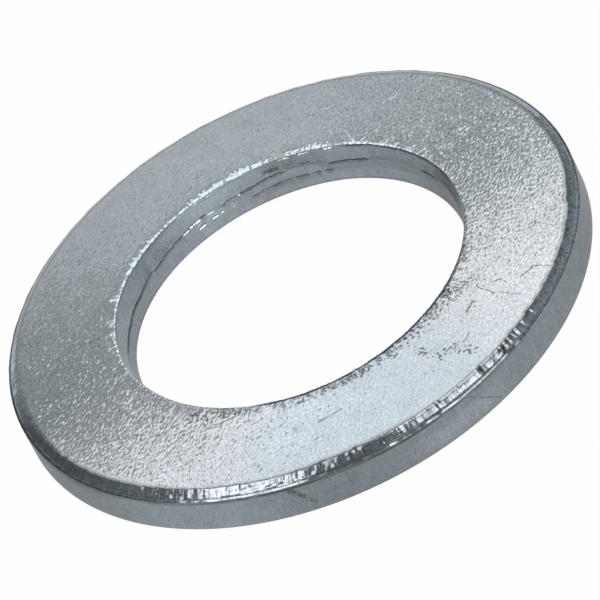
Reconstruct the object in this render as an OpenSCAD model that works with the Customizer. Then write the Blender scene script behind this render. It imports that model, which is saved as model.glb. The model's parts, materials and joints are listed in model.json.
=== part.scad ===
// Flat washer, punched from sheet, with a chamfered outer edge on its top face.
// The bottom face lies on z = 0 and the bore runs along Z. Sizes are in millimetres.

/* [Ring] */
// Outside diameter
outer_d = 38.5; // [34:0.1:44]
// Diameter of the smooth band in the bore, its narrowest place
bore_d = 22.6; // [20:0.1:28]
// Distance between the two flat faces
thickness = 2.86; // [2.4:0.02:4]

/* [Outer edge] */
// Width of the chamfer, seen from above
chamfer_w = 0.6; // [0.3:0.02:1.6]
// Height of the chamfer
chamfer_h = 0.4; // [0.2:0.02:1.2]
// Width of the steeper land between the chamfer and the rim, seen from above
land_w = 0.13; // [0.04:0.01:0.3]
// Height of that land
land_h = 0.16; // [0.04:0.01:0.4]
// Radius of the rim's lower edge
rim_foot_r = 0.14; // [0.05:0.01:0.4]

/* [Punched bore] */
// Radius of the lower edge, drawn in where the punch entered
bore_foot_r = 0.3; // [0.1:0.02:0.5]
// Height of the tear, where the smooth band ends and the torn zone starts
tear_h = 1.7; // [0.8:0.02:1.8]
// Radial step at the tear
tear_step = 0.04; // [0.01:0.01:0.1]
// Further widening of the bore from the tear up to the top edge
torn_taper = 0.28; // [0.02:0.01:0.4]
// Radius of the top edge
lip_r = 0.3; // [0.1:0.02:0.5]

/* [Hidden] */

$fn = 180;
arc_steps = 8;

outer_r = outer_d / 2;
bore_r = bore_d / 2;
torn_r = bore_r + tear_step;
mouth_r = torn_r + torn_taper;

// Points on an arc about a centre, from one angle to another
function arc(centre, r, from, to) =
    [for (i = [0 : arc_steps])
        let (a = from + (to - from) * i / arc_steps)
        centre + r * [cos(a), sin(a)]];

// Half section of the ring, radius against height, counter-clockwise from the rim's foot
section = concat(
    arc([outer_r - rim_foot_r, rim_foot_r], rim_foot_r, -90, 0),
    [
        [outer_r, thickness - chamfer_h - land_h],
        [outer_r - land_w, thickness - chamfer_h],
        [outer_r - land_w - chamfer_w, thickness]
    ],
    arc([mouth_r + lip_r, thickness - lip_r], lip_r, 90, 180),
    [[torn_r, tear_h], [bore_r, tear_h]],
    arc([bore_r + bore_foot_r, bore_foot_r], bore_foot_r, 180, 270)
);

module washer() {
    color([0.60, 0.63, 0.65])
        rotate_extrude()
            polygon(section);
}

washer();
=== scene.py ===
"""A bright zinc plated flat washer lying on a pale floor, seen from the front and above."""
import json
import math

import bpy
import numpy as np
from mathutils import Matrix, Vector


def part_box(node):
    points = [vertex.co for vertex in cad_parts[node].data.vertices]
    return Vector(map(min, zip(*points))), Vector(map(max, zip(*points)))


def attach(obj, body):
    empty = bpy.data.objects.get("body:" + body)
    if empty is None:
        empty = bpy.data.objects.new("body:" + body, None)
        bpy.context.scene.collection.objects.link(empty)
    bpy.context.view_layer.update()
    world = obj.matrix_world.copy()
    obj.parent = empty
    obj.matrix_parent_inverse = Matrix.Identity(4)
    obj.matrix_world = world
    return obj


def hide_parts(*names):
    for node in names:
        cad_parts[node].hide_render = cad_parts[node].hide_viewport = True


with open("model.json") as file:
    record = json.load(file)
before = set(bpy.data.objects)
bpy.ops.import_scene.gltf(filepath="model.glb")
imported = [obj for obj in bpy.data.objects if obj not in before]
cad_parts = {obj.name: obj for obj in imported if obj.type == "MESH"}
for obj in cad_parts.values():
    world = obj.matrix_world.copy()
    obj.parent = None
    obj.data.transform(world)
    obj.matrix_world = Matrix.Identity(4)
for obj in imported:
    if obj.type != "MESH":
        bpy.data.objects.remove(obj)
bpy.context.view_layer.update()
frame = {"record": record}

MM = 0.001
TURN = 2 * math.pi
SEED = 7

# Points on each ring of the mesh, and their angles
SEGMENTS = 1600
DEGREES = np.arange(SEGMENTS) * 360 / SEGMENTS

# Main sizes, in millimetres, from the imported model
node_low, node_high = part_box("washer")
OUTER_R = (node_high.x - node_low.x) / 2 / MM
THICK = (node_high.z - node_low.z) / MM
BORE_R = next(m for m in frame["record"]["mounts"] if m["name"] == "bolt_bore")["dims"]["r_mm"]

# Outer edge, in millimetres
CHAMFER_W = 0.60
CHAMFER_H = 0.40
LAND_W = 0.13
LAND_H = 0.16
FOOT_R = 0.14
LAND_R = OUTER_R - LAND_W
LAND_Z = THICK - CHAMFER_H
LAND_FOOT_Z = LAND_Z - LAND_H
BOTTOM_INSET = 0.3
RIM_DENT = 0.005
RIM_LINE_H = 0.06
RIM_LINE_DEPTH = 0.004
LAND_WANDER = 0.022

# Section of the land, in millimetres out and up: two points from its lower edge, then four from its upper
LAND_TOE = (-0.008, 0.04)
BEAD_FOOT = (-0.025, 0.088)
BEAD_TOP = (0.01, -0.008)
GROOVE_NEAR = (-0.01, -0.006)
GROOVE_BOTTOM = (-0.04, -0.014)
GROOVE_FAR = (-0.07, 0.030)

# Tool marks on the chamfer: how many there are, the spread of their slopes, and sizes in millimetres
TOOL_MARKS = 300
MARK_TWIST = 0.02
MARK_TILT = 0.025
MARK_GROOVE_W = 0.045
MARK_GROOVE_DEPTH = 0.006
MARK_ROUGHNESS = 0.012

# Slope of the chamfer, and the shares of its width at which its rings lie
CHAMFER_COS = 0.83
CHAMFER_SIN = 0.55
CHAMFER_SHARES = (0.16, 0.28, 0.42, 0.56, 0.7, 0.84, 0.95)

# Corner between the chamfer and the face, in millimetres. A steep step under it runs and falls by these
# shares of its size
CORNER_WANDER = 0.015
CORNER_CHIP = 0.2
CORNER_CRUMB = 0.03
CORNER_DIP = 0.016
CORNER_FALL = 0.001
DIP_INSET = 0.07
FACE_INSETS = (0.17, 0.25)
STEP_RUN = 0.6
STEP_FALL = 1.07

# Middle of that corner's round, out and up, as shares of its width
CORNER_MIDDLE = (-0.04, -0.14)

# Rings on the flat face: distances in millimetres from the chamfer's corner and from the bore
FACE_OUTER_INSET = 0.8
FACE_INNER_WIDTHS = (1.6, 1.0)

# Punched bore, in millimetres
BROW_SLOPE = 0.15
BROW_LEAST_W = 0.06
ROLL_W = 0.05
ROLL_H = 0.03
FLAKE_DEPTH = 0.015
TORN_ROUGHNESS = 0.004
TEAR_STEP = 0.04
TORN_TAPER = 0.16
BAND_TAPER = 0.12
BAND_ROUGHNESS = 0.006
BAND_RING_Z = 0.8
SECOND_DEPTH = 0.03
BURR = 0.03
BORE_FOOT_W = 0.50
BORE_FOOT_H = 0.40
BORE_FOOT_WANDER = 0.012
BAND_RING_R = BORE_R + 0.3 * BAND_TAPER
SECOND_R = BORE_R + 0.7 * BAND_TAPER
BAND_R = BORE_R + BAND_TAPER
MOUTH_R = BAND_R + TEAR_STEP + TORN_TAPER

# Section of the brow round the bore: shares of its width, going in, with the shares of its sink there
BROW_SECTION = ((0, 0), (0.18, 0.08), (0.45, 0.4), (0.72, 0.72), (1, 1.06))

# Depths below the bore's mouth, in millimetres: above its flakes, at their top and at their foot
ABOVE_FLAKES = 0.03
FLAKE_TOP = 0.07
FLAKE_FOOT = 0.10

# Section of the crack at the tear, in millimetres into the wall and up
CRACK_BROW = (0.006, 0.035)
CRACK_ROOF = (0.05, 0.01)
LEDGE_BACK = (0.035, -0.015)
LEDGE_FRONT = (0.02, -0.06)
CRACK_FOOT = (-0.003, -0.17)

# Section of the second crack: millimetres up, and the share of its depth there
SECOND_SECTION = ((0.035, 0), (0.01, 1), (-0.02, 1), (-0.06, 0))

# Random waves round the ring: knots and heights, in millimetres except for the brow's sink and the beads
BEAD_WAVES = ((330, 1), (700, 0.6))
LIP_WAVES = ((90, 0.05), (260, 0.05), (600, 0.03))
SINK_WAVES = ((70, 0.2), (220, 0.5), (520, 0.8))
TEAR_WAVES = ((40, 0.02), (140, 0.02), (400, 0.012))
SECOND_WAVES = ((90, 0.02), (220, 0.02))

# Camera: angles in degrees, distances in millimetres, clipping in metres
VIEW_ELEVATION = 37.297
VIEW_ROLL = -27.292
VIEW_DISTANCE = 383.56
VIEW_RIGHT = 0.302
VIEW_UP = -0.440
LENS = 365.53
SENSOR = 36.0
CLIP_NEAR = 0.01
CLIP_FAR = 50


def around(rng, cells):
    """Smooth random values from -1 to 1 round the ring, with the given number of knots."""
    knots = rng.uniform(-1, 1, cells)
    place = np.arange(SEGMENTS) * cells / SEGMENTS
    first = place.astype(int)
    share = place - first
    share = share * share * (3 - 2 * share)
    return knots[first % cells] * (1 - share) + knots[(first + 1) % cells] * share


def wavy(rng, middle, waves):
    """A middle value with random waves on it, each given by its knots and its height."""
    return sum((height * around(rng, cells) for cells, height in waves), middle)


def patches(rng, cells, middle, swing, least=0):
    """Uneven values round the ring that swing about a middle, cut off at 1 and at the least value."""
    return np.clip(middle + swing * around(rng, cells), least, 1)


def between(start, end, soft=5.0):
    """1 between two angles in degrees, easing to 0 outside them."""
    middle = (start + end) / 2
    off = np.abs((DEGREES - middle + 180) % 360 - 180)
    return np.clip(((end - start) / 2 + soft - off) / soft, 0, 1)


def along(knots):
    """Values chosen at some angles in degrees, joined round the ring."""
    angles, values = zip(*knots)
    return np.interp(DEGREES, angles, values, period=360)


# What the material reads at each point, with its usual value: dull cut metal, chamfer, lip of the bore,
# darkening by real marks and by painted shade, and a factor on the colour, which in places paints light and
# shade
ZONE = {"sheared": 0.0, "facet": 0.0, "lip": 0.0, "grime": 0.0, "tone": 1.0}


class Rings:
    """Rings of points round the Z axis, in order along the section."""

    def __init__(self):
        self.r = []
        self.z = []
        self.zone = []
        self.flat = []

    def add(self, r, z, flat=False, **zone):
        """Adds a ring. Flat keeps the faces from it to the next ring unsmoothed."""
        self.r.append(np.broadcast_to(np.asarray(r, float), SEGMENTS))
        self.z.append(np.broadcast_to(np.asarray(z, float), SEGMENTS))
        self.zone.append(zone)
        self.flat.append(flat)


def add_bottom(rings, rng):
    """The flat underside."""
    rings.add(BORE_R + BORE_FOOT_W + BORE_FOOT_WANDER * around(rng, 240), 0)
    rings.add(OUTER_R - FOOT_R - BOTTOM_INSET, 0)


def land_shift():
    """How far the land lies above or below its usual height."""
    return along([
        (0, 0), (228, 0), (238, 0.02), (253, 0.03), (258, 0), (263, -0.05), (274, -0.08), (284, -0.05),
        (292, -0.03), (300, 0),
    ])


def add_rim(rings, rng):
    """The upright outer wall, from its rounded foot to the line under the land, which is painted dark as
    shadow.
    """
    tone = along([
        (195, 0.7), (225, 1.15), (240, 1.18), (256, 0.9), (263, 0.88), (270, 0.93), (285, 1.05), (315, 1.02),
        (335, 0.9),
    ])
    # The ring low on the foot is painted darker, as shade near the floor
    for degrees, grime in ((-90, 0), (-60, 0), (-30, 0.5), (0, 0)):
        angle = math.radians(degrees)
        r = OUTER_R - FOOT_R + FOOT_R * math.cos(angle)
        z = FOOT_R + FOOT_R * math.sin(angle)
        rings.add(r, z, sheared=1, tone=tone, grime=grime)

    land_foot = LAND_FOOT_Z + np.minimum(0, land_shift())
    pale_tone = tone * (1 + 0.2 * between(280, 292, 6))
    # Painted shade on the upper rim between about 180° and 210°
    painted_top_shade = 0.5 * between(183, 205, 12)
    bands = ((0.25, pale_tone, 0), (0.5, pale_tone, 0), (0.75, tone, 0), (0.92, tone, painted_top_shade))
    for share, band_tone, grime in bands:
        dent = RIM_DENT * (around(rng, 60) - 1)
        z = FOOT_R + (land_foot - FOOT_R) * share
        rings.add(OUTER_R + dent, z, sheared=1, tone=band_tone, grime=grime)

    # Painted shadow: a dark line along the top of the rim, under the land
    line = along([
        (0, 0.2), (180, 0.8), (205, 0.8), (220, 0.4), (235, 0.6), (246, 1), (275, 1), (290, 0.5), (308, 0.1),
    ])
    line = line * patches(rng, 170, 0.95, 0.5)
    half_way = OUTER_R - RIM_LINE_DEPTH / 2
    rings.add(half_way, land_foot - RIM_LINE_H, sheared=1, tone=tone, grime=0.85 * line)
    rings.add(OUTER_R - RIM_LINE_DEPTH, land_foot, sheared=1, tone=tone, grime=line)


def add_land(rings, rng):
    """The narrow steep band between the rim and the chamfer: a beaded bevel with a groove above it, painted
    dark as shade.
    """
    wander = LAND_WANDER * around(rng, 180) + land_shift()
    tone = along([
        (0, 0.6), (165, 0.45), (185, 0.45), (212, 0.6), (228, 1), (255, 1), (260, 0.7), (267, 0.7),
        (272, 0.9), (280, 0.8), (300, 0.8), (312, 1.02), (345, 0.95),
    ])
    crisp = along([
        (0, 0.3), (165, 0.2), (215, 0.4), (232, 0.3), (257, 0.3), (275, 0.2), (281, 0.3), (298, 0.5),
        (312, 0.2),
    ])
    beads = np.clip(wavy(rng, 0.4, BEAD_WAVES), 0, 1)
    beads = beads * along([
        (0, 0), (224, 0), (233, 0.36), (254, 0.36), (260, 0.6), (268, 0.8), (280, 0.65), (285, 0.6),
        (289, 0.1), (300, 0),
    ])
    lower = (OUTER_R, LAND_FOOT_Z)
    upper = (LAND_R, LAND_Z)

    def ring(edge, offset, **zone):
        rings.add(edge[0] + offset[0], edge[1] + offset[1] + wander, tone=tone, **zone)

    # Painted shadow along the land's lower edge, fainter between about 308° and 352°
    ring(lower, LAND_TOE, facet=0.7, sheared=0.3, grime=0.5 - 0.4 * between(308, 352, 6))
    ring(lower, BEAD_FOOT, flat=True, facet=1 - beads)
    ring(upper, BEAD_TOP, facet=1 - beads)
    ring(upper, GROOVE_NEAR, facet=1)
    # Painted shade in the groove above the bevel
    ring(upper, GROOVE_BOTTOM, facet=1, grime=0.8 * crisp)
    ring(upper, GROOVE_FAR, facet=1, grime=0.3 * crisp)


def chatter(rng):
    """Tool marks on the chamfer: cells of uneven length, each a little tilted, with grooves between."""
    lengths = rng.uniform(0.5, 1.5, TOOL_MARKS)
    edges = np.concatenate([[0], np.cumsum(lengths)]) / lengths.sum()
    place = np.arange(SEGMENTS) / SEGMENTS
    cell = np.searchsorted(edges, place, side="right") - 1
    share = (place - edges[cell]) / (edges[cell + 1] - edges[cell])
    span = (edges[cell + 1] - edges[cell]) * TURN * OUTER_R
    twist = rng.normal(0, MARK_TWIST, TOOL_MARKS)[cell]
    tilt = rng.normal(0, MARK_TILT, TOOL_MARKS)[cell]
    reach = np.minimum(share, 1 - share) * span
    groove = np.exp(-((reach / MARK_GROOVE_W) ** 2))
    saw = (share - 0.5) * span * twist
    return saw, tilt, groove


def corner_width():
    """Width of the soft round between the chamfer and the face."""
    return along([
        (0, 0.17), (30, 0.12), (150, 0.12), (175, 0.24), (205, 0.24), (222, 0.12), (232, 0.06), (252, 0.06),
        (258, 0.12), (275, 0.12), (281, 0.06), (296, 0.06), (310, 0.12), (345, 0.17),
    ])


def corner_wear():
    """How ragged the corner between the chamfer and the face is, from 0 to 1."""
    return along([
        (0, 0.2), (160, 0.2), (210, 0.2), (232, 0.5), (262, 0.5), (297, 0.4), (304, 0.75), (335, 0.65),
        (350, 0.3),
    ])


def ragged_corner(rng, step):
    """Radius of the corner between the chamfer and the face, and the strength of its dark notches."""
    wear = corner_wear()
    chips = patches(rng, 150, -0.6, 1.8) + 0.3 * patches(rng, 420, 0, 1)
    wide = along([
        (0, 0.03), (30, 0), (190, 0), (202, -0.06), (226, -0.05), (240, 0), (254, 0.04), (258, -0.03),
        (267, -0.03), (272, 0.03), (300, 0.04), (308, 0.08), (332, 0.09), (345, 0.07),
    ])
    notch = wear * np.clip(0.5 + 0.7 * around(rng, 420) + chips, 0, 1)
    radius = LAND_R - CHAMFER_W + wide + step + CORNER_WANDER * around(rng, 300)
    radius = radius - CORNER_CHIP * wear * chips + CORNER_CRUMB * wear * around(rng, 800)
    return radius, notch


def add_chamfer(rings, rng):
    """The chamfer with its tool marks. Returns the radius and the notches of the corner above it."""
    saw, tilt, groove = chatter(rng)
    tone = along([
        (0, 1.6), (40, 1), (140, 0.9), (155, 1.0), (166, 1.85), (175, 1.75), (187, 0.77), (205, 0.8),
        (218, 1.3), (230, 1.25), (241, 1.35), (254, 1.35), (259, 0.9), (271, 0.9), (278, 1.4), (300, 1.4),
        (308, 1.5), (335, 1.45), (345, 1.35),
    ])
    bite = along([
        (0, 0.1), (40, 0.3), (150, 0.3), (170, 0.1), (212, 0.2), (229, 1), (300, 0.85), (303.5, 0.3),
        (307, 0.08), (340, 0.05),
    ])
    step = along([
        (0, 0.04), (30, 0), (267, 0), (273, 0.05), (282, 0.08), (300, 0.08), (310, 0.06), (340, 0.06),
    ])
    # Darkens the chamfer towards its top, mostly between about 280° and 345°
    upper = along([
        (0, 0.1), (20, 0), (277, 0), (282, 0.6), (294, 0.6), (297, 0.9), (302, 0.8), (306, 0.3), (345, 0.25),
    ])
    corner_r, notch = ragged_corner(rng, step)
    width = corner_width()
    top_r = corner_r + CHAMFER_COS * width + STEP_RUN * step
    top_z = THICK - CHAMFER_SIN * width - STEP_FALL * step
    rough = np.random.default_rng(SEED + 1)
    cuts = 0.9 * between(278, 300, 2) * patches(rough, 640, -0.4, 2.6)
    for share in CHAMFER_SHARES:
        fade = math.sin(math.pi * min(1, share + 0.03))
        speck = 0.8 * patches(rng, 700, -0.7, 1.8)
        marks = saw + tilt * (share - 0.5) * CHAMFER_W - MARK_GROOVE_DEPTH * groove
        lift = bite * fade * (marks + MARK_ROUGHNESS * around(rough, 450))
        # Grooves between the tool marks painted dark as shade, with the chamfer's own dark specks
        groove_shade_and_specks = bite * (0.8 * groove * patches(rng, 300, 0.6, 1) + speck)
        rings.add(
            LAND_R + (top_r - LAND_R) * share + CHAMFER_SIN * lift,
            LAND_Z + (top_z - LAND_Z) * share + CHAMFER_COS * lift,
            facet=1,
            tone=tone,
            grime=np.clip(groove_shade_and_specks + cuts + upper * share ** 4, 0, 1),
        )
    rings.add(top_r, top_z, facet=1, tone=tone, grime=np.maximum(0.9 * notch, upper))
    return corner_r, notch


def outer_tone():
    """Brightness of the outer part of the face."""
    return along([
        (0, 0.96), (30, 1.05), (60, 1), (165, 0.97), (185, 0.84), (200, 0.9), (225, 1.02), (290, 1),
        (305, 1.1), (320, 1.14), (335, 1.03),
    ])


def inner_tone():
    """Brightness of the inner part of the face."""
    return along([
        (0, 0.86), (15, 0.92), (32, 1.06), (65, 1.1), (100, 1.06), (135, 1.1), (165, 1), (185, 0.95),
        (225, 1), (245, 1.06), (285, 0.95), (305, 0.97), (320, 1.03), (345, 1),
    ])


def add_corner(rings, rng, corner_r, notch):
    """The soft round from the chamfer to the face, with a painted highlight along it at some angles and a
    dark dip inside it.
    """
    width = corner_width()
    # Painted highlight along the round near 257° to 277°, with painted shade beside it in the dip
    bright = 0.3 * between(257, 268, 3) + 0.7 * between(270, 277, 2)
    dip = corner_wear() * patches(rng, 520, 0.7, 0.8)
    rings.add(
        corner_r + CORNER_MIDDLE[0] * width,
        THICK + CORNER_MIDDLE[1] * width,
        facet=0.8 * (1 - bright),
        tone=1 + 0.5 * bright,
        grime=0.8 * notch * (1 - bright),
    )
    inner_r = corner_r - width
    rings.add(inner_r, THICK - CORNER_FALL, facet=0.3)
    rings.add(inner_r - DIP_INSET, THICK - CORNER_DIP * dip, grime=np.maximum(0.75 * dip, 0.7 * bright))
    for inset in FACE_INSETS:
        rings.add(inner_r - inset, THICK, tone=outer_tone())


def add_face(rings):
    """The flat face between the chamfer's corner and the brow of the bore."""
    rings.add(LAND_R - CHAMFER_W - FACE_OUTER_INSET, THICK, tone=outer_tone())
    for width in FACE_INNER_WIDTHS:
        rings.add(MOUTH_R + width, THICK, tone=inner_tone())


def mouth_radius():
    """Radius of the bore just below its top edge, which lies a little off centre."""
    return MOUTH_R + along([
        (0, 0.18), (10, 0.21), (60, 0.24), (120, 0.23), (140, 0.22), (150, 0.16), (160, 0.12), (180, 0.04),
        (200, -0.04), (240, -0.04), (246, -0.07), (252, 0), (300, 0.02), (320, 0.08), (345, 0.12),
    ])


def add_lip(rings, rng):
    """The bore's top edge: a gentle uneven brow, then a tight roll. Returns the height of the roll's foot."""
    waver = wavy(rng, 0, LIP_WAVES)
    width = along([
        (0, 0.15), (10, 0.12), (20, 0.11), (30, 0.13), (40, 0.16), (55, 0.2), (70, 0.32), (90, 0.39),
        (100, 0.30), (110, 0.19), (120, 0.18), (135, 0.28), (143, 0.24), (150, 0.13), (170, 0.14),
        (220, 0.18), (245, 0.27), (330, 0.27),
    ])
    drawn = along([
        (0, 0.7), (40, 1), (54, 1), (55.5, 0.2), (58.5, 0.2), (60, 1), (160, 1), (175, 0.8), (200, 0.6),
        (330, 0.5),
    ])
    sink = BROW_SLOPE * width * drawn * np.clip(wavy(rng, 1, SINK_WAVES), 0.15, 1.8)
    # The brow's lighter tone stands partly for burnished metal and partly for a painted highlight
    tone = along([
        (0, 1.2), (25, 1.2), (35, 1.45), (48, 1.45), (62, 1.35), (150, 1.35), (172, 1.4), (200, 1), (330, 1),
    ])
    beads = along([
        (0, 0.8), (20, 0.5), (48, 0.5), (60, 0.8), (150, 0.8), (172, 1.2), (200, 0.8), (330, 0.8),
    ])
    # Painted shade along the brow and roll on the near side, from about 240° to 345°
    dark = along([(0, 0.3), (30, 0), (190, 0), (240, 0.1), (248, 0.95), (310, 0.95), (345, 0.6)])
    shadow = between(8, 54, 3) + 0.5 * between(118, 165, 8)
    mouth_r = mouth_radius()
    rough = np.random.default_rng(SEED + 2)
    for share, drop in BROW_SECTION:
        bright = min(1, 4 * share)
        crumb = 0.6 * (1 - share) * bright * patches(rough, 480, 0, 1.5)
        rings.add(
            mouth_r + ROLL_W + np.maximum(width + waver, BROW_LEAST_W) * (1 - share),
            THICK - sink * (drop + crumb),
            tone=inner_tone() * (1 - bright) + tone * bright,
            lip=beads * bright,
            grime=dark * min(1, max(0, 2.2 * share - 0.2)),
        )
    full_drop = BROW_SECTION[-1][1]
    foot_z = THICK - full_drop * sink - ROLL_H
    for share in (0.35, 0.75):
        r = mouth_r + ROLL_W * (1 - share)
        z = foot_z + ROLL_H * math.sqrt(1 - share ** 2)
        rings.add(r, z, sheared=0.6 * share, lip=1 - share, grime=np.clip(dark + shadow * share, 0, 1))
    rings.add(mouth_r, foot_z, sheared=0.8, grime=np.clip(dark + shadow, 0, 1))
    return foot_z


def tear_height(rng):
    """Height at which the torn zone of the bore ends and the smooth band below it starts."""
    height = along([
        (0, 2.08), (22, 2.04), (47, 1.94), (54, 1.87), (60, 1.82), (66, 1.94), (76, 2.10), (82, 2.04),
        (86, 1.92), (92, 1.82), (97, 1.77), (103, 1.79), (106, 1.88), (111, 1.83), (115, 1.72), (125, 1.58),
        (130.4, 1.49), (132.3, 1.67), (136, 1.55), (142, 1.40), (149, 1.49), (155, 1.37), (166, 1.45),
        (172, 1.6), (330, 1.6),
    ])
    return wavy(rng, height, TEAR_WAVES)


def tear_opening(rng):
    """How far the crack at the tear stands open, from 0 to 1."""
    opening = along([
        (0, 0), (14, 0), (16, 0.8), (22, 0.8), (24, 0), (45, 0), (47.5, 1), (60, 1), (61.5, 0), (74.5, 0),
        (76.5, 1), (97, 1), (99, 0.1), (104, 0.1), (106, 1), (130, 1), (131, 0.5), (132.5, 1), (164, 1),
        (170, 0.5), (300, 0.4),
    ])
    return opening * patches(rng, 200, 0.9, 0.4, least=0.2)


def add_torn_zone(rings, rng, mouth_z, tear_z, opening):
    """The bore from its mouth in to the tear, with a few bright flakes near the top and painted shade under
    the mouth.
    """
    shadow = (between(6, 53, 3) + 0.5 * between(119, 167, 8)) * patches(rng, 150, 0.9, 0.5)
    # Painted shade on the wall near 0°
    painted_shade = 0.25 * between(-3, 10, 8)
    # The tone paints light and shade round the ring: darkest near 0°, much lighter near 105°
    tone = along([
        (0, 0.6), (8, 0.8), (16, 1.25), (25, 1.7), (45, 1.95), (55, 2.05), (66, 1.9), (75, 1.7), (85, 2.2),
        (105, 2.85), (116, 2.1), (126, 1.46), (150, 1.28), (200, 1.35),
    ])
    flake = 0.8 * between(51, 76, 1) + 0.6 * between(93, 110, 1) + 0.3 * between(115, 127, 1)
    flake = flake * patches(rng, 220, 0.3, 1.2)
    flake_tone = tone + (1.2 - tone) * np.clip(2 * flake, 0, 1)
    bulge = FLAKE_DEPTH * flake
    dull = 1 - flake
    mouth_r = mouth_radius()
    edge_r = BAND_R + TEAR_STEP * opening
    slope = (mouth_r - edge_r) / (mouth_z - tear_z)

    def ring(drop, shift, **zone):
        rings.add(mouth_r - drop * slope + shift, mouth_z - drop, **zone)

    ring(ABOVE_FLAKES, 0, sheared=0.9, tone=tone, grime=0.9 * shadow)
    ring(FLAKE_TOP, bulge, flat=True, sheared=dull, tone=flake_tone, grime=0.6 * shadow)
    ring(FLAKE_FOOT, -bulge, sheared=dull, tone=flake_tone, grime=0.2 * shadow + painted_shade)
    for share in (0.3, 0.55, 0.75 + 0.19 * opening):
        r = mouth_r + (edge_r - mouth_r) * share + TORN_ROUGHNESS * (around(rng, 240) + 1)
        z = mouth_z + (tear_z - mouth_z) * share
        rings.add(r, z, sheared=1, tone=tone, grime=painted_shade)


def smooth_tone():
    """Brightness of the smooth band of the bore, painted round the ring as light and shade: darker near 0°,
    lighter near 105°.
    """
    return along([
        (0, 0.5), (8, 0.6), (25, 1.0), (38, 1.13), (60, 1.2), (80, 1.17), (105, 1.4), (125, 1.17),
        (150, 1.08), (200, 1),
    ])


def closed_tone():
    """Darkens the wall down to the second crack where the first one is closed."""
    return 1 - 0.15 * between(12, 62, 6)


def add_tear(rings, rng, tear_z, opening):
    """The crack between the torn zone and the smooth band, with bright slivers on the ledge under it, and its
    open gap painted dark as shade and dirt.
    """
    slivers = 0.6 * between(92, 97, 0.4) + between(102.3, 105.5, 0.4) + between(107.5, 115, 0.5)
    slivers = slivers + 0.7 * between(130.6, 132, 0.3)
    dull = 1 - slivers * patches(rng, 150, 0.9, 0.8)
    tone = smooth_tone() * closed_tone()
    gap = along([
        (0, 0.05), (60, 0.05), (76, 0.03), (100, 0.03), (106, 0.05), (116, 0.05), (125, 0.03), (150, 0.055),
        (200, 0.04),
    ])
    edge_r = BAND_R + TEAR_STEP * opening
    floor_z = tear_z - gap

    def ring(r, z, offset, share, **zone):
        rings.add(r + offset[0] * share, z + offset[1], tone=tone, **zone)

    ring(edge_r, tear_z, CRACK_BROW, opening, sheared=1)
    # The open crack is painted dark, as shade and dirt in the gap
    ring(edge_r, tear_z, CRACK_ROOF, opening, sheared=1, grime=opening)
    ring(edge_r, floor_z, (CRACK_ROOF[0], 0), opening, sheared=dull, grime=opening)
    ring(edge_r, floor_z, LEDGE_BACK, opening, flat=True, sheared=dull, grime=0.8 * opening * dull)
    ring(BAND_R, floor_z, LEDGE_FRONT, dull * opening, sheared=dull)
    ring(BAND_R, tear_z, CRACK_FOOT, 1, sheared=1)


def add_smooth_band(rings, rng):
    """The lower part of the bore, its narrowest place, with a second shorter crack painted dark inside as
    shade and dirt, and a bevelled foot.
    """
    second = along([(0, 0), (40, 0), (43, 0.25), (59, 0.3), (61, 0.9), (87, 0.9), (90, 0)])
    second = second * patches(rng, 260, 0.9, 0.7)
    flake = between(101.5, 108.9, 0.6) * patches(rng, 120, 0.9, 0.9)
    flake = flake + between(99.2, 100.5, 0.4) + between(95.4, 95.7, 0.3)
    second_z = along([
        (0, 1.35), (41, 1.32), (60, 1.31), (71, 1.28), (76, 1.37), (88, 1.19), (95, 1.22), (99, 1.30),
        (109, 1.21), (130, 1.1), (142, 1.05), (200, 1.15),
    ])
    second_z = wavy(rng, second_z, SECOND_WAVES)
    tone = smooth_tone()
    upper_tone = tone * closed_tone()
    # The second crack is painted dark, as shade and dirt in its gap
    for height, depth in SECOND_SECTION:
        above = height > 0
        rings.add(
            SECOND_R + SECOND_DEPTH * depth * (second - flake),
            second_z + height,
            flat=above and depth == 0,
            sheared=1 - flake if above else 1,
            tone=upper_tone if above else tone,
            grime=depth * second,
        )
    uneven = BAND_ROUGHNESS * (around(rng, 300) + 1)
    rings.add(BAND_RING_R + uneven, BAND_RING_Z, sheared=1, tone=tone)
    rings.add(BORE_R - BURR, BORE_FOOT_H, sheared=1, tone=tone)
    rings.add(BORE_R + 0.6 * BORE_FOOT_W, 0.3 * BORE_FOOT_H, sheared=1, tone=tone)


def face_marks():
    """Values by angle for the plated face: how coarse its grain is, and its tints."""
    return {
        "coarse": along([
            (0, 1.2), (15, 1.45), (25, 1.3), (42, 0.9), (60, 0.5), (75, 0.3), (110, 0.18), (130, 0),
            (150, 0.5), (165, 1), (180, 0.75), (200, 0.6), (240, 0.65), (256, 0.5), (270, 0.35), (285, 0.25),
            (310, 0.55), (335, 1.15),
        ]),
        "warm": along([
            (0, 0.1), (185, 0.0), (212, 1), (238, 0.9), (254, -0.4), (286, -0.4), (302, 0.5), (318, 1),
            (335, 0.9), (352, 0.3),
        ]),
        "olive": along([(0, 0.3), (20, 0), (300, 0), (325, 0.6), (338, 1), (350, 0.7)]),
    }


def washer_rings(rng):
    """All rings of the section, from the underside out, up, in over the face and down the bore."""
    rings = Rings()
    add_bottom(rings, rng)
    add_rim(rings, rng)
    add_land(rings, rng)
    corner_r, notch = add_chamfer(rings, rng)
    add_corner(rings, rng, corner_r, notch)
    add_face(rings)
    mouth_z = add_lip(rings, rng)
    tear_z = tear_height(rng)
    opening = tear_opening(rng)
    add_torn_zone(rings, rng, mouth_z, tear_z, opening)
    add_tear(rings, rng, tear_z, opening)
    add_smooth_band(rings, rng)
    return rings


def add_layer(mesh, name, values):
    """Stores one value for each point of a mesh."""
    layer = mesh.attributes.new(name, "FLOAT", "POINT")
    layer.data.foreach_set("value", values.astype(np.float32))


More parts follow.
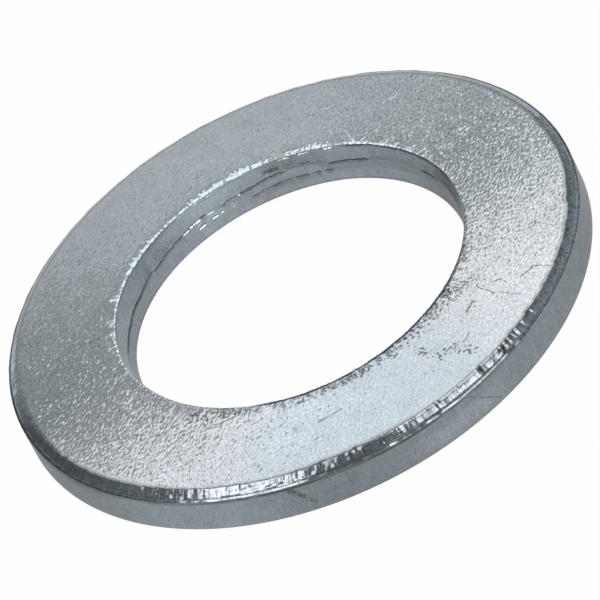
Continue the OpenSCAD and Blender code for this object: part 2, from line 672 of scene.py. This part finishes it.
def washer_mesh(rings):
    """Joins each ring to the next, and the last to the first, into one closed skin."""
    turn = np.radians(DEGREES)
    r = np.array(rings.r) * MM
    z = np.array(rings.z) * MM
    points = np.stack([r * np.cos(turn), r * np.sin(turn), z], -1).reshape(-1, 3)
    count = len(rings.r)
    ring = np.arange(count)[:, None] * SEGMENTS
    next_ring = np.roll(np.arange(count), -1)[:, None] * SEGMENTS
    seg = np.arange(SEGMENTS)[None, :]
    next_seg = np.roll(np.arange(SEGMENTS), -1)[None, :]
    quads = np.stack([ring + seg, ring + next_seg, next_ring + next_seg, next_ring + seg], -1)
    mesh = bpy.data.meshes.new("plated_washer")
    mesh.from_pydata(points.tolist(), [], quads.reshape(-1, 4).tolist())
    for name, usual in ZONE.items():
        values = [np.broadcast_to(zone.get(name, usual), SEGMENTS) for zone in rings.zone]
        add_layer(mesh, name, np.concatenate(values))
    for name, values in face_marks().items():
        add_layer(mesh, name, np.tile(values, count))
    mesh.polygons.foreach_set("use_smooth", np.repeat(np.logical_not(rings.flat), SEGMENTS))
    mesh.update()
    return mesh


class Graph:
    """An empty node graph for a material, a lamp or the world, with short names for its nodes."""

    def __init__(self, owner):
        owner.use_nodes = True
        self.tree = owner.node_tree
        self.tree.nodes.clear()

    def node(self, kind, **settings):
        node = self.tree.nodes.new(kind)
        for name, value in settings.items():
            setattr(node, name, value)
        return node

    def put(self, socket, value):
        """Links a socket to another one, or sets it to a constant."""
        if isinstance(value, bpy.types.NodeSocket):
            self.tree.links.new(value, socket)
        else:
            socket.default_value = value

    def fill(self, node, values):
        """Puts values into a node's sockets, by their names."""
        for name, value in values.items():
            self.put(node.inputs[name], value)

    def output(self, kind, shader):
        self.put(self.node(kind).inputs["Surface"], shader)

    def math(self, operation, a, b=0.0, clamp=False):
        node = self.node("ShaderNodeMath", operation=operation, use_clamp=clamp)
        self.put(node.inputs[0], a)
        self.put(node.inputs[1], b)
        return node.outputs[0]

    def times(self, a, b):
        return self.math("MULTIPLY", a, b)

    def vector(self, operation, a, b=(0, 0, 0), scale=1.0):
        """Works on vectors. Socket 3 is the scale, and output 1 the plain number of some operations."""
        node = self.node("ShaderNodeVectorMath", operation=operation)
        self.put(node.inputs[0], a)
        self.put(node.inputs[1], b)
        self.put(node.inputs[3], scale)
        return node.outputs[1 if operation in ("DOT_PRODUCT", "LENGTH") else 0]

    def mix(self, share, a, b):
        """Blends two colours, through the node's own colour sockets."""
        node = self.node("ShaderNodeMix", data_type="RGBA")
        self.put(node.inputs[0], share)
        self.put(node.inputs[6], a)
        self.put(node.inputs[7], b)
        return node.outputs[2]

    def ramp(self, value, low, high, start=0.0, end=1.0, smooth=True):
        """Goes from start to end while the value goes from low to high, and stays level outside."""
        node = self.node("ShaderNodeMapRange", interpolation_type="SMOOTHSTEP" if smooth else "LINEAR")
        self.fill(node, {"Value": value, "From Min": low, "From Max": high, "To Min": start, "To Max": end})
        return node.outputs["Result"]

    def mottle(self, noise, depth):
        """A factor about 1 that follows a noise, up to the given depth either way."""
        return self.ramp(noise, 0.3, 0.7, 1 - depth, 1 + depth, smooth=False)

    def noise(self, place, scale, detail=2.0, rough=0.5):
        node = self.node("ShaderNodeTexNoise")
        self.fill(node, {"Vector": place, "Scale": scale, "Detail": detail, "Roughness": rough})
        return node.outputs["Fac"]

    def bent(self, place, scale, reach):
        """Coordinates pushed about by a smooth noise, up to half the reach in X, Y and Z."""
        node = self.node("ShaderNodeTexNoise")
        self.fill(node, {"Vector": place, "Scale": scale, "Detail": 0.0})
        push = self.vector("SUBTRACT", node.outputs["Color"], (0.5, 0.5, 0.5))
        return self.vector("ADD", place, self.vector("MULTIPLY", push, reach))

    def voronoi(self, place, scale):
        """Cells about scattered points: offset from a cell's own point, and the cell's random colour."""
        node = self.node("ShaderNodeTexVoronoi")
        self.fill(node, {"Vector": place, "Scale": scale})
        return self.vector("SUBTRACT", place, node.outputs["Position"]), node.outputs["Color"]

    def split(self, value):
        node = self.node("ShaderNodeSeparateXYZ")
        self.put(node.inputs[0], value)
        return node.outputs

    def segment(self, place, start, end):
        """Distance from a straight stroke between two points."""
        run = Vector(end) - Vector(start)
        off = self.vector("SUBTRACT", place, start)
        share = self.math("ADD", self.vector("DOT_PRODUCT", off, run / run.length_squared), 0.0, clamp=True)
        return self.vector("LENGTH", self.vector("SUBTRACT", off, self.vector("SCALE", run, scale=share)))

    def stretched(self, place, degrees, stretch):
        """Coordinates whose pattern is drawn out along a direction in the XY plane."""
        node = self.node("ShaderNodeMapping", vector_type="TEXTURE")
        turn = (0, 0, math.radians(degrees))
        self.fill(node, {"Vector": place, "Rotation": turn, "Scale": (stretch, 1, 1)})
        return node.outputs["Vector"]

    def attribute(self, name):
        return self.node("ShaderNodeAttribute", attribute_name=name).outputs["Fac"]


FACE_COLOUR = (0.546, 0.62, 0.662, 1)
FACET_COLOUR = (0.219, 0.265, 0.295, 1)
RIM_COLOUR = (0.229, 0.265, 0.288, 1)
# Dark colour for real marks and for painted shade
GRIME_AND_SHADE_COLOUR = (0.06, 0.068, 0.073, 1)

# How far the tints and the blotches of the face go, and what the marks and the painted glints do to the
# brightness
WARM_TINT = 0.07
OLIVE_TINT = 0.025
BLOTCH_DEPTH = 0.06
DARK_MARK = 0.3
BRIGHT_MARK = 1.45
WALL_MARK = 0.4

# Roughness of the plated face, of the cut walls, and what the chamfer adds
FACE_ROUGHNESS = 0.09
WALL_ROUGHNESS = 0.42
FACET_ROUGHNESS = 0.06

# Tint of mirrored light at a low angle, on the plated face and elsewhere
FACE_EDGE_TINT = (1, 1, 1, 1)
DULL_EDGE_TINT = (0.8, 0.8, 0.8, 1)

# Orange peel, crystals and pits of the plated face: heights in millimetres, scales per millimetre, and the
# levels of noise above which a pit lies
PEEL_HEIGHT = 0.011
PEEL_SCALE = 5.6
WAVE_HEIGHT = 0.005
WAVE_SCALE = 2.2
PATCH_SCALE = 0.35
LIP_PEEL = 0.8
GRAIN_TURN = 60.0
GRAIN_STRETCH = 1.6
SPANGLE_SCALE = 7.0
BLOTCH_SCALE = 0.8
CRYSTAL_SCALE = 7.0
CRYSTAL_TILT = 0.06
PIT_SCALE = 4.5
FEW_PITS = 0.80
MANY_PITS = 0.54
COARSEST = 1.5

# Patterns on the chamfer and on the cut walls: scales per millimetre, and depths of their light and dark
FACET_STREAK_SCALE = 4.0
FACET_SPOT_SCALE = 6.0
FACET_DEPTH = 0.35
WALL_STREAK_SCALE = 5.0
WALL_STREAK_RISE = 0.2
WALL_STREAK_SHARE = 0.3
WALL_CLOUD_SCALE = 1.5
WALL_CLOUD_SHARE = 0.7
WALL_CLOUD_DEPTH = 0.13
WALL_GRAIN_SCALE = 8.0
WALL_GRAIN_DEPTH = 0.14

# Hairlines: cells and bends per millimetre, sizes in millimetres
HAIRLINE_SCALE = 0.42
HAIRLINE_BEND_SCALE = 0.9
HAIRLINE_BEND = (0.35, 0.35, 0.35)
HAIRLINE_HALF_W = 0.05
HAIRLINE_HALF_L = 0.8
HAIRLINE_CORE_L = 0.3
HAIRLINE_STRENGTH = 0.4

# Strokes have a full core, as a share of their half width, and those narrower than a full stroke are fainter.
# Breaks and bends are per millimetre, and the reach of the bends in millimetres
STROKE_CORE = 0.3
FULL_STROKE = 0.06
SCRATCH_BREAK_SCALE = 5.0
SCRATCH_BEND_SCALE = 1.6
SCRATCH_BEND = (0.3, 0.3, 0)
GLINT_BEND_SCALE = 4.0
GLINT_BEND = (0.15, 0.15, 0)
WALL_BREAK_SCALE = 6.0
WALL_BEND_SCALE = 3.0
WALL_BEND = (0.15, 0.15, 0.15)

# Scratches on the face, in millimetres: start, end and half width
SCRATCHES = (
    ((8.7, -11.7), (9.3, -11.0), 0.14),
    ((7.0, -13.9), (7.6, -14.1), 0.09),
    ((7.6, -14.1), (8.2, -13.7), 0.09),
    ((9.9, -9.8), (10.8, -11.2), 0.08),
    ((10.8, -11.2), (12.1, -12.5), 0.05),
    ((8.4, -8.5), (9.2, -9.4), 0.12),
    ((7.8, -9.2), (9.7, -9.3), 0.08),
    ((8.2, -10.0), (9.1, -9.6), 0.09),
    ((10.8, -10.2), (11.5, -10.3), 0.09),
    ((11.5, -10.3), (11.8, -10.9), 0.08),
    ((12.5, -11.0), (13.5, -10.6), 0.13),
    ((13.7, -10.7), (14.5, -11.2), 0.10),
    ((-2.6, -14.6), (-0.8, -14.5), 0.08),
    ((-3.4, -15.9), (-2.4, -16.0), 0.04),
    ((-8.5, -10.0), (-7.8, -10.3), 0.06),
    ((-7.8, -10.3), (-5.9, -10.3), 0.07),
    ((-5.5, 13.2), (-4.4, 12.2), 0.025),
)

# Painted glints: bright strokes on the far side of the face, in millimetres: start, end and half width
GLINTS = (
    ((10.5, 11.6), (11.1, 11.8), 0.09),
    ((11.0, 11.6), (11.5, 11.8), 0.09),
    ((6.8, 14.1), (7.4, 13.9), 0.07),
    ((7.5, 10.9), (7.6, 10.0), 0.07),
    ((9.1, 9.1), (9.7, 9.8), 0.08),
    ((11.2, 5.2), (11.7, 5.4), 0.12),
    ((12.1, 4.1), (12.6, 4.5), 0.12),
    ((6.5, 11.6), (6.7, 11.2), 0.08),
    ((11.4, 7.8), (11.7, 7.7), 0.10),
    ((12.0, 8.0), (12.4, 8.3), 0.10),
    ((5.8, 16.6), (5.5, 16.3), 0.07),
)

# Dark scores on the rim and in the bore: radius in millimetres, then the start and the end, each an angle
# in degrees and a height, and the half width
WALL_MARKS = (
    (OUTER_R, (251.7, 2.2), (254.0, 1.4), 0.34),
    (OUTER_R, (255.0, 0.9), (255.6, 0.7), 0.20),
    (OUTER_R, (233.2, 2.0), (233.4, 1.3), 0.05),
    (OUTER_R, (263.0, 2.1), (263.1, 0.8), 0.05),
    (OUTER_R, (289.0, 2.1), (295.2, 0.3), 0.08),
    (MOUTH_R - 0.08, (66.7, 2.15), (70.2, 2.18), 0.09),
    (MOUTH_R - 0.01, (70.8, 2.30), (75.4, 2.33), 0.09),
    (MOUTH_R + 0.02, (77.4, 2.36), (81.9, 2.34), 0.26),
    (MOUTH_R - 0.18, (17.0, 2.08), (23.0, 2.02), 0.11),
)

# Strips of the face with many pits, in millimetres: start, end and half width
PITTED = (
    ((3.2, -11.8), (8.2, -9.4), 1.4),
    ((6.5, -14.1), (8.0, -15.3), 0.8),
    ((5.0, -13.0), (6.1, -14.6), 0.7),
    ((-9.2, -8.6), (-6.8, -9.9), 1.0),
    ((8.0, -9.2), (10.0, -9.0), 0.9),
    ((-4.2, -11.8), (0.0, -12.4), 0.5),
    ((0.0, -12.4), (3.2, -12.0), 0.6),
)


def crystals(g, grain, coarse, keep):
    """The surface normal, tipped on a few of the plating's small crystals."""
    size = 1 / CRYSTAL_SCALE
    _, colour = g.voronoi(g.bent(grain, CRYSTAL_SCALE, (size, size, size)), CRYSTAL_SCALE)
    tip = g.vector("SUBTRACT", g.vector("SCALE", colour, scale=2.0), (1, 1, 1))
    square = g.vector("MULTIPLY", tip, tip)
    fourth = g.vector("MULTIPLY", square, square)
    tip = g.vector("MULTIPLY", tip, fourth)
    tilt = g.ramp(coarse, 0, COARSEST, 0.6 * CRYSTAL_TILT, 1.2 * CRYSTAL_TILT, smooth=False)
    tip = g.vector("SCALE", tip, scale=g.times(keep, tilt))
    normal = g.node("ShaderNodeNewGeometry").outputs["Normal"]
    return g.vector("NORMALIZE", g.vector("ADD", normal, tip))


def hairlines(g, place):
    """Short fine scratches, one in some of the cells of a loose net, each at its own angle."""
    bent = g.bent(place, HAIRLINE_BEND_SCALE, HAIRLINE_BEND)
    offset, colour = g.voronoi(g.vector("MULTIPLY", bent, (1, 1, 0)), HAIRLINE_SCALE)
    dice = g.split(colour)
    angle = g.times(dice[0], TURN / 2)
    part = g.split(offset)
    cos = g.math("COSINE", angle)
    sin = g.math("SINE", angle)
    ahead = g.math("ADD", g.times(part[0], cos), g.times(part[1], sin))
    aside = g.math("SUBTRACT", g.times(part[1], cos), g.times(part[0], sin))
    line = g.ramp(g.math("ABSOLUTE", aside), HAIRLINE_HALF_W, STROKE_CORE * HAIRLINE_HALF_W)
    ends = g.ramp(g.math("ABSOLUTE", ahead), HAIRLINE_HALF_L, HAIRLINE_CORE_L)
    strength = g.ramp(dice[1], 0.5, 1.0, 0.0, HAIRLINE_STRENGTH)
    return g.times(g.times(line, ends), strength)


def strokes(g, place, lines, marks=0.0):
    """Straight strokes on the face, added to the marks already there."""
    for start, end, half_width in lines:
        line = g.segment(place, (*start, THICK), (*end, THICK))
        strength = min(1, half_width / FULL_STROKE)
        mark = g.ramp(line, half_width, STROKE_CORE * half_width, 0.0, strength)
        marks = g.math("MAXIMUM", marks, mark)
    return marks


def scratches(g, place):
    """Dark scratches on the face, broken up along their length."""
    bent = g.bent(place, SCRATCH_BEND_SCALE, SCRATCH_BEND)
    marks = strokes(g, bent, SCRATCHES, hairlines(g, place))
    return g.times(marks, g.ramp(g.noise(place, SCRATCH_BREAK_SCALE, 1.0), 0.36, 0.54, 0.4, 1.0))


def glints(g, place):
    """Painted glints: bright strokes on the face."""
    return strokes(g, g.bent(place, GLINT_BEND_SCALE, GLINT_BEND), GLINTS)


def on_wall(radius, degrees, height):
    """A point on an upright wall round the Z axis."""
    angle = math.radians(degrees)
    return radius * math.cos(angle), radius * math.sin(angle), height


def wall_marks(g, place):
    """Dark scores on the rim and in the bore, broken up along their length."""
    bent = g.bent(place, WALL_BEND_SCALE, WALL_BEND)
    marks = 0.0
    for radius, start, end, half_width in WALL_MARKS:
        line = g.segment(bent, on_wall(radius, *start), on_wall(radius, *end))
        marks = g.math("MAXIMUM", marks, g.ramp(line, half_width, 0.0))
    return g.times(marks, g.ramp(g.noise(place, WALL_BREAK_SCALE, 1.0), 0.35, 0.6, 0.35, 1.0))


def pits(g, place):
    """Small dark pits, many in some strips of the face and few elsewhere."""
    edge = g.ramp(strokes(g, place, PITTED), 0, 1, FEW_PITS, MANY_PITS)
    return g.ramp(g.math("SUBTRACT", g.noise(place, PIT_SCALE, 1.0), edge), 0.0, 0.05)


def face_relief(g, place, grain, coarse, lip, keep):
    """Height of the plating's orange peel, in millimetres, stronger and weaker by patches."""
    peel = g.noise(grain, PEEL_SCALE, 0.0)
    wave = g.noise(grain, WAVE_SCALE, 1.0)
    patch = g.ramp(g.noise(place, PATCH_SCALE, 1.0), 0.35, 0.65, 0.75, 1.25)
    patch = g.times(patch, g.ramp(coarse, 0, COARSEST, 0.4, 1.3, smooth=False))
    patch = g.math("ADD", patch, g.times(lip, LIP_PEEL))
    peel = g.times(g.times(peel, PEEL_HEIGHT), patch)
    wave = g.times(wave, WAVE_HEIGHT)
    return g.times(g.math("ADD", peel, wave), g.ramp(keep, 0, 1, 0.4, 1.0))


def face_colour(g, place, grain, coarse):
    """The plating's colour with its tints, its spangle, its dark marks and its painted glints."""
    warm = g.ramp(g.attribute("warm"), -1, 1, 1 - WARM_TINT, 1 + WARM_TINT, smooth=False)
    olive = g.ramp(g.attribute("olive"), 0, 1, 1.0, 1 - OLIVE_TINT, smooth=False)
    tinted = g.node("ShaderNodeCombineColor")
    red, green, blue, _ = FACE_COLOUR
    g.fill(tinted, {"Red": g.times(warm, red), "Green": green, "Blue": g.times(olive, blue)})
    spread = g.ramp(coarse, 0, COARSEST, 0.4, 2.0, smooth=False)
    spangle = g.math("SUBTRACT", g.noise(grain, SPANGLE_SCALE, 1.0), 0.5)
    shade = g.math("ADD", g.ramp(coarse, 0, 1, 1.0, 0.95), g.times(spangle, spread))
    blotches = g.noise(place, BLOTCH_SCALE, 3.0, 0.6)
    shade = g.times(shade, g.mottle(blotches, BLOTCH_DEPTH))
    marks = g.math("MAXIMUM", scratches(g, place), pits(g, place))
    shade = g.times(shade, g.ramp(marks, 0, 1, 1.0, DARK_MARK))
    shade = g.times(shade, g.ramp(glints(g, place), 0, 1, 1.0, BRIGHT_MARK))
    return g.vector("SCALE", tinted.outputs["Color"], scale=shade)


def facet_colour(g, place, coarse):
    """The chamfer, with spots and with fine streaks down its slope."""
    spoke = g.vector("NORMALIZE", g.vector("MULTIPLY", place, (1, 1, 0)))
    streaks = g.noise(spoke, FACET_STREAK_SCALE * OUTER_R, 2.0, 0.7)
    spots = g.noise(place, FACET_SPOT_SCALE, 1.0)
    share = g.ramp(coarse, 0.4, 0.9, 0.6, 0.2)
    streaks = g.times(g.math("SUBTRACT", streaks, spots), share)
    shade = g.ramp(g.math("ADD", spots, streaks), 0.35, 0.65, 1 - FACET_DEPTH, 1 + FACET_DEPTH, smooth=False)
    return g.vector("SCALE", FACET_COLOUR[:3], scale=shade)


def sheared_colour(g, place):
    """The dull cut surfaces of rim and bore, with clouds and faint upright streaks."""
    upright = g.vector("MULTIPLY", place, (1, 1, WALL_STREAK_RISE))
    streaks = g.noise(upright, WALL_STREAK_SCALE, 1.0)
    clouds = g.noise(place, WALL_CLOUD_SCALE, 3.0, 0.7)
    streaks = g.times(streaks, WALL_STREAK_SHARE)
    clouds = g.times(clouds, WALL_CLOUD_SHARE)
    shade = g.mottle(g.math("ADD", streaks, clouds), WALL_CLOUD_DEPTH)
    grain = g.noise(place, WALL_GRAIN_SCALE, 1.0)
    shade = g.times(shade, g.mottle(grain, WALL_GRAIN_DEPTH))
    shade = g.times(shade, g.ramp(wall_marks(g, place), 0, 1, 1.0, WALL_MARK))
    return g.vector("SCALE", RIM_COLOUR[:3], scale=shade)


def zinc():
    """Bright zinc plate, with the chamfer, the cut walls, and the darkening by real marks and by painted
    shade, as the mesh's layers give them.
    """
    material = bpy.data.materials.new("zinc_plate")
    g = Graph(material)
    place = g.vector("SCALE", g.node("ShaderNodeTexCoord").outputs["Object"], scale=1 / MM)
    sheared = g.attribute("sheared")
    facet = g.attribute("facet")
    coarse = g.attribute("coarse")

    keep = g.math("SUBTRACT", 1.0, g.math("MAXIMUM", sheared, facet), clamp=True)
    grain = g.stretched(place, GRAIN_TURN, GRAIN_STRETCH)
    bump = g.node("ShaderNodeBump")
    relief = face_relief(g, place, grain, coarse, g.attribute("lip"), keep)
    normal = crystals(g, grain, coarse, keep)
    g.fill(bump, {"Strength": 1.0, "Distance": MM, "Height": relief, "Normal": normal})

    colour = g.mix(facet, face_colour(g, place, grain, coarse), facet_colour(g, place, coarse))
    colour = g.mix(sheared, colour, sheared_colour(g, place))
    # A factor on the colour from the mesh's layer, which in places paints light and shade
    colour = g.vector("SCALE", colour, scale=g.attribute("tone"))
    # Darkens towards one dark colour where the mesh's layer says: real marks, and painted shade in cracks,
    # grooves and under edges
    colour = g.mix(g.attribute("grime"), colour, GRIME_AND_SHADE_COLOUR)
    rough = g.ramp(sheared, 0, 1, FACE_ROUGHNESS, WALL_ROUGHNESS)
    rough = g.math("ADD", rough, g.times(facet, FACET_ROUGHNESS))

    shader = g.node("ShaderNodeBsdfPrincipled")
    shader.inputs["Metallic"].default_value = 1.0
    edge_tint = g.mix(keep, DULL_EDGE_TINT, FACE_EDGE_TINT)
    g.fill(shader, {"Base Color": colour, "Specular Tint": edge_tint, "Roughness": rough})
    g.put(shader.inputs["Normal"], bump.outputs["Normal"])
    g.output("ShaderNodeOutputMaterial", shader.outputs["BSDF"])
    return material


def add_object(name, data):
    """Puts a new object into the scene."""
    made = bpy.data.objects.new(name, data)
    bpy.context.scene.collection.objects.link(made)
    return made


def build_washer():
    """The plated ring with all its marks, in place of the plain solid."""
    rng = np.random.default_rng(SEED)
    mesh = washer_mesh(washer_rings(rng))
    mesh.materials.append(zinc())
    piece = add_object("plated_washer", mesh)
    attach(piece, "root")
    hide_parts("washer")


def build_camera():
    """The photo's view: from the front and above, rolled, a little off the ring's centre."""
    e = math.radians(VIEW_ELEVATION)
    roll = math.radians(VIEW_ROLL)
    ahead = Vector((0, math.cos(e), -math.sin(e)))
    level = Vector((1, 0, 0))
    above = Vector((0, math.sin(e), math.cos(e)))
    right = level * math.cos(roll) + above * math.sin(roll)
    up = above * math.cos(roll) - level * math.sin(roll)
    data = bpy.data.cameras.new("camera")
    data.sensor_width = SENSOR
    data.lens = LENS
    data.clip_start = CLIP_NEAR
    data.clip_end = CLIP_FAR
    camera = add_object("camera", data)
    place = -(right * VIEW_RIGHT + up * VIEW_UP + ahead * VIEW_DISTANCE) * MM
    turn = Matrix((right, up, -ahead)).transposed().to_4x4()
    camera.matrix_world = Matrix.Translation(place) @ turn
    bpy.context.scene.camera = camera


# Floor, in metres, with the share of its own glow in what is seen of it
FLOOR_SIZE = 2.4
FLOOR_DROP = 0.00002
BACKDROP_HEIGHT = 0.1
FLOOR_COLOUR = (0.95, 0.95, 0.95, 1)
FLOOR_GLOW = 0.97


def floor_paint():
    """Pale paint that looks evenly lit to the camera and in reflections."""
    material = bpy.data.materials.new("floor")
    g = Graph(material)
    path = g.node("ShaderNodeLightPath")
    seen = g.math("ADD", path.outputs["Is Camera Ray"], path.outputs["Is Glossy Ray"])
    seen = g.math("ADD", seen, path.outputs["Is Transmission Ray"], clamp=True)
    paint = g.node("ShaderNodeBsdfDiffuse")
    paint.inputs["Color"].default_value = FLOOR_COLOUR
    glow = g.node("ShaderNodeEmission")
    glow.inputs["Strength"].default_value = 1.0
    both = g.node("ShaderNodeMixShader")
    g.put(both.inputs["Fac"], g.times(seen, FLOOR_GLOW))
    g.put(both.inputs[1], paint.outputs["BSDF"])
    g.put(both.inputs[2], glow.outputs["Emission"])
    g.output("ShaderNodeOutputMaterial", both.outputs["Shader"])
    return material


def build_floor():
    """A pale floor whose border stands up as a low backdrop, so that level views show no horizon."""
    h = FLOOR_SIZE / 2
    mesh = bpy.data.meshes.new("floor")
    square = [(-h, -h), (h, -h), (h, h), (-h, h)]
    corners = [(x, y, z) for z in (-FLOOR_DROP, BACKDROP_HEIGHT) for x, y in square]
    sides = [(i, (i + 1) % 4, (i + 1) % 4 + 4, i + 4) for i in range(4)]
    mesh.from_pydata(corners, [], [(0, 1, 2, 3), *sides])
    mesh.materials.append(floor_paint())
    floor = add_object("floor", mesh)


# Light from all round, with a darker patch: its direction, and the angles from it in degrees at which the
# patch starts and is full
WORLD_LEVEL = 0.42
WORLD_COLOUR = (1, 1, 1, 1)
SHADE_LEVEL = 0.32
SHADE_FROM = (-0.69, 0.51, 0.51)
SHADE_START = 44
SHADE_FULL = 20


def build_world():
    """Even white light, a little weaker from one side."""
    world = bpy.data.worlds.new("studio")
    g = Graph(world)
    ray = g.node("ShaderNodeTexCoord").outputs["Generated"]
    facing = g.vector("DOT_PRODUCT", ray, SHADE_FROM)
    start = math.cos(math.radians(SHADE_START))
    full = math.cos(math.radians(SHADE_FULL))
    back = g.node("ShaderNodeBackground")
    back.inputs["Color"].default_value = WORLD_COLOUR
    g.put(back.inputs["Strength"], g.ramp(facing, start, full, WORLD_LEVEL, SHADE_LEVEL))
    g.output("ShaderNodeOutputWorld", back.outputs["Background"])
    bpy.context.scene.world = world


def panel(name, centre, along_side, facing, length, width, radiance, colour):
    """A soft panel of one brightness. Its centre and sizes are in outer radii."""
    unit = OUTER_R * MM
    back = -Vector(facing).normalized()
    side = Vector(along_side)
    side = (side - back * side.dot(back)).normalized()
    data = bpy.data.lights.new(name, "AREA")
    data.shape = "RECTANGLE"
    data.size = length * unit
    data.size_y = width * unit
    data.energy = radiance * math.pi * data.size * data.size_y
    data.color = colour
    lamp = add_object(name, data)
    turn = Matrix((side, back.cross(side), back)).transposed().to_4x4()
    lamp.matrix_world = Matrix.Translation(Vector(centre) * unit) @ turn
    lamp.visible_camera = False
    return lamp


def grade(lamp, stops):
    """Grades a panel's brightness from its lower edge, share 0, to its upper edge, share 1."""
    g = Graph(lamp.data)
    across = g.split(g.node("ShaderNodeNewGeometry").outputs["Parametric"])
    ramp = g.node("ShaderNodeValToRGB")
    ramp.color_ramp.interpolation = "EASE"
    elements = ramp.color_ramp.elements
    elements.remove(elements[1])
    elements[0].position = 0
    for share, level in stops:
        element = elements.new(share) if share > 0 else elements[0]
        element.color = (level, level, level, 1)
    g.put(ramp.inputs["Fac"], g.math("SUBTRACT", 1.0, across["Y"]))
    glow = g.node("ShaderNodeEmission")
    g.put(glow.inputs["Color"], ramp.outputs["Color"])
    g.output("ShaderNodeOutputLight", glow.outputs["Emission"])


# Panels that the flat face mirrors. Heights on their plane and lengths are in outer radii, and each
# stop is a height with the brightness there
WALL_DISTANCE = 4.0
WALL_LENGTH = 6.0
WALL_COLOUR = (1.0, 0.98, 0.985)
SOFTBOX_STOPS = (
    (0.14, 0.0), (0.24, 0.2), (0.34, 0.54), (0.43, 0.80), (0.53, 0.88), (0.75, 0.66), (2.6, 0.62),
)
SOFTBOX_SLOPE = -0.146
FILL_STOPS = ((-2.2, 0.27), (-0.6, 0.25), (-0.3, 0.18), (-0.12, 0.0))
FILL_SLOPE = 0.04


def wall_panel(name, stops, slope):
    """A graded panel square to the direction that the flat face mirrors to the camera."""
    e = math.radians(VIEW_ELEVATION)
    mirror = Vector((0, math.cos(e), math.sin(e)))
    rise = Vector((0, -math.sin(e), math.cos(e)))
    level = Vector((1, 0, 0))
    low = stops[0][0]
    high = stops[-1][0]
    peak = max(value for _, value in stops)
    centre = mirror * WALL_DISTANCE + rise * (low + high) / 2
    lamp = panel(name, centre, level + rise * slope, -mirror, WALL_LENGTH, high - low, peak, WALL_COLOUR)
    grade(lamp, [((height - low) / (high - low), value / peak) for height, value in stops])


def build_wall_lights():
    wall_panel("softbox", SOFTBOX_STOPS, SOFTBOX_SLOPE)
    wall_panel("fill", FILL_STOPS, FILL_SLOPE)


# Panels overhead, which face the washer: name, place, direction of the long side, length and brightness.
# Places, lengths and the width are in outer radii
TOP_COLOUR = (1.0, 0.885, 0.86)
TOP_WIDTH = 5.5
TOP_PANELS = (
    ("top_left", (-5.5, -1.2, 12), (6.2, -3.6, 0), 6.3, 2.8),
    ("top_right", (4.6, -3.5, 12), (6.7, 2.7, 0), 6.0, 2.75),
)


def build_top_lights():
    for name, place, side, length, radiance in TOP_PANELS:
        panel(name, place, side, -Vector(place), length, TOP_WIDTH, radiance, TOP_COLOUR)


build_camera()
build_floor()
build_world()
build_wall_lights()
build_top_lights()
build_washer()

bpy.context.scene.view_settings.view_transform = "Standard"
